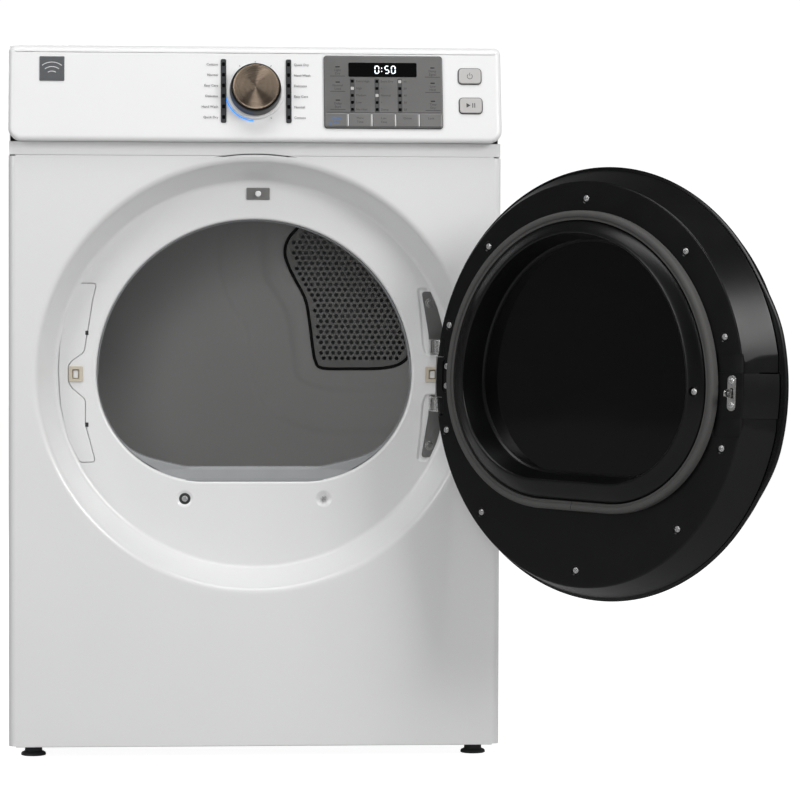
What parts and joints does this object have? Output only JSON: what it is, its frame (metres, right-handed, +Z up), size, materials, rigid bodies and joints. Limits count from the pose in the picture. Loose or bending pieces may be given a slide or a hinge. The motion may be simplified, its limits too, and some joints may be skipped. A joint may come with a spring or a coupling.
{
  "type": "clothes dryer",
  "caption": "Front-loading tumble dryer with a round glazed door held open on a side hinge, a turning drum, a sloped control console and levelling feet.",
  "frame": {"origin": "on the floor, under the middle of the whole object's box with the door open as stored", "axes": "+X to the right seen from the front, +Y to the back, +Z up"},
  "size_m": [1.036, 1.1902, 0.994],
  "materials": {
    "white_enamel": "satin enamel",
    "white_plastic": "satin",
    "silver_plastic": "brushed film",
    "black_plastic": "gloss",
    "dark_plastic": "matt",
    "dark_glass": "polished",
    "rubber": "matt",
    "bright_metal": "plated",
    "bronze_metal": "spun metal finish over a plastic body",
    "galvanised_steel": "zinc coated",
    "ivory_plastic": "satin",
    "warm_grey_plastic": "matt",
    "drum_steel": "brushed"
  },
  "bodies": {
    "cabinet": {"base_pan": "galvanised_steel", "side_panel_left": "white_enamel", "side_panel_right": "white_enamel", "rear_panel": "galvanised_steel", "top_panel": "white_enamel", "front_panel": "white_enamel", "front_strip": "white_enamel", "terminal_cover": "dark_plastic", "door_switch": "white_plastic", "latch_catch": "ivory_plastic", "spare_catch": "ivory_plastic", "spare_hinge_cover": "white_plastic", "hinge_bracket_upper": "bright_metal", "hinge_bracket_lower": "bright_metal", "console_fascia": "white_plastic", "overlay_panel": "silver_plastic", "display_lens": "dark_glass", "light_strip_left": "dark_plastic", "light_strip_right": "dark_plastic", "front_bulkhead": "warm_grey_plastic", "rear_bulkhead": "galvanised_steel", "lint_duct": "dark_plastic", "heater_box": "galvanised_steel", "air_grille": "dark_plastic", "motor": "galvanised_steel", "blower_housing": "galvanised_steel", "exhaust_duct": "galvanised_steel", "drum_belt": "rubber"},
    "door": {"door_plate": "black_plastic", "door_bowl": "black_plastic", "door_window": "dark_glass", "door_seal": "rubber", "door_bezel": "black_plastic", "door_glass": "dark_glass", "hinge_leaf": "bright_metal", "latch_striker": "bright_metal"},
    "drum": {"drum": "drum_steel", "baffle_1": "warm_grey_plastic", "baffle_2": "warm_grey_plastic", "baffle_3": "warm_grey_plastic"},
    "rotor": {"motor_pulley": "galvanised_steel", "blower_wheel": "dark_plastic"},
    "roller_left": {"roller_left": "rubber"},
    "roller_right": {"roller_right": "rubber"},
    "idler_arm": {"idler_arm": "galvanised_steel"},
    "idler_pulley": {"idler_pulley": "dark_plastic"},
    "lint_filter": {"lint_filter": "dark_plastic"},
    "switch_plunger": {"switch_plunger": "white_plastic"},
    "knob": {"knob": "bronze_metal"},
    "power_button": {"power_button": "silver_plastic"},
    "start_button": {"start_button": "silver_plastic"},
    "key_1": {"key_1": "silver_plastic"},
    "key_2": {"key_2": "silver_plastic"},
    "key_3": {"key_3": "silver_plastic"},
    "key_4": {"key_4": "silver_plastic"},
    "key_5": {"key_5": "silver_plastic"},
    "foot_front_left": {"foot_front_left": "dark_plastic"},
    "foot_rear_left": {"foot_rear_left": "dark_plastic"},
    "foot_front_right": {"foot_front_right": "dark_plastic"},
    "foot_rear_right": {"foot_rear_right": "dark_plastic"}
  },
  "joints": [
    {"name": "door_hinge", "type": "hinge", "parent": "cabinet", "child": "door", "pos_m": [0.09698, -0.17191, 0.5356], "axis": [0.0134, 0, 0.9999], "range_deg": [-135.5, 14.5]},
    {"name": "drum_spin", "type": "hinge", "parent": "cabinet", "child": "drum", "pos_m": [-0.17502, 0.22009, 0.554], "axis": [0, 1, 0], "continuous": true},
    {"name": "roller_left_spin", "type": "hinge", "parent": "cabinet", "child": "roller_left", "pos_m": [-0.38174, 0.46209, 0.25878], "axis": [0, 1, 0], "continuous": true},
    {"name": "roller_right_spin", "type": "hinge", "parent": "cabinet", "child": "roller_right", "pos_m": [0.0317, 0.46209, 0.25878], "axis": [0, 1, 0], "continuous": true},
    {"name": "rotor_spin", "type": "hinge", "parent": "cabinet", "child": "rotor", "pos_m": [-0.26502, 0.18009, 0.12], "axis": [0, 1, 0], "continuous": true},
    {"name": "idler_pivot", "type": "hinge", "parent": "cabinet", "child": "idler_arm", "pos_m": [-0.21002, 0.16009, 0.062], "axis": [0, 1, 0], "range_deg": [-12, 0], "stiffness_Nm_per_rad": 2, "springref_deg": 20.05},
    {"name": "idler_pulley_spin", "type": "hinge", "parent": "idler_arm", "child": "idler_pulley", "pos_m": [-0.13502, 0.18009, 0.165], "axis": [0, 1, 0], "continuous": true},
    {"name": "lint_filter_lift", "type": "slide", "parent": "cabinet", "child": "lint_filter", "axis": [0, 0, 1], "range_m": [0, 0.16]},
    {"name": "switch_press", "type": "slide", "parent": "cabinet", "child": "switch_plunger", "axis": [0, 1, 0], "range_m": [0, 0.004], "stiffness_N_per_m": 300, "springref_m": -0.004},
    {"name": "knob_turn", "type": "hinge", "parent": "cabinet", "child": "knob", "pos_m": [-0.17602, -0.15053, 0.92972], "axis": [0, -0.9703, 0.2419], "continuous": true},
    {"name": "power_press", "type": "slide", "parent": "cabinet", "child": "power_button", "axis": [0, 0.9703, -0.2419], "range_m": [0, 0.002], "stiffness_N_per_m": 600, "springref_m": -0.002},
    {"name": "start_press", "type": "slide", "parent": "cabinet", "child": "start_button", "axis": [0, 0.9703, -0.2419], "range_m": [0, 0.002], "stiffness_N_per_m": 600, "springref_m": -0.002},
    {"name": "key_1_press", "type": "slide", "parent": "cabinet", "child": "key_1", "axis": [0, 0.9703, -0.2419], "range_m": [0, 0.0007], "stiffness_N_per_m": 800, "springref_m": -0.0015},
    {"name": "key_2_press", "type": "slide", "parent": "cabinet", "child": "key_2", "axis": [0, 0.9703, -0.2419], "range_m": [0, 0.0007], "stiffness_N_per_m": 800, "springref_m": -0.0015},
    {"name": "key_3_press", "type": "slide", "parent": "cabinet", "child": "key_3", "axis": [0, 0.9703, -0.2419], "range_m": [0, 0.0007], "stiffness_N_per_m": 800, "springref_m": -0.0015},
    {"name": "key_4_press", "type": "slide", "parent": "cabinet", "child": "key_4", "axis": [0, 0.9703, -0.2419], "range_m": [0, 0.0007], "stiffness_N_per_m": 800, "springref_m": -0.0015},
    {"name": "key_5_press", "type": "slide", "parent": "cabinet", "child": "key_5", "axis": [0, 0.9703, -0.2419], "range_m": [0, 0.0007], "stiffness_N_per_m": 800, "springref_m": -0.0015},
    {"name": "foot_front_left_turn", "type": "hinge", "parent": "cabinet", "child": "foot_front_left", "pos_m": [-0.48502, -0.10491, 0.006], "axis": [0, 0, 1], "continuous": true},
    {"name": "foot_rear_left_turn", "type": "hinge", "parent": "cabinet", "child": "foot_rear_left", "pos_m": [-0.48502, 0.52509, 0.006], "axis": [0, 0, 1], "continuous": true},
    {"name": "foot_front_right_turn", "type": "hinge", "parent": "cabinet", "child": "foot_front_right", "pos_m": [0.13498, -0.10491, 0.006], "axis": [0, 0, 1], "continuous": true},
    {"name": "foot_rear_right_turn", "type": "hinge", "parent": "cabinet", "child": "foot_rear_right", "pos_m": [0.13498, 0.52509, 0.006], "axis": [0, 0, 1], "continuous": true}
  ],
  "couplings": [
    {"joint": "roller_left_spin", "follows": "drum_spin", "ratio": -9.2857},
    {"joint": "roller_right_spin", "follows": "drum_spin", "ratio": -9.2857},
    {"joint": "rotor_spin", "follows": "drum_spin", "ratio": 32.5},
    {"joint": "idler_pulley_spin", "follows": "drum_spin", "ratio": 16.25}
  ]
}
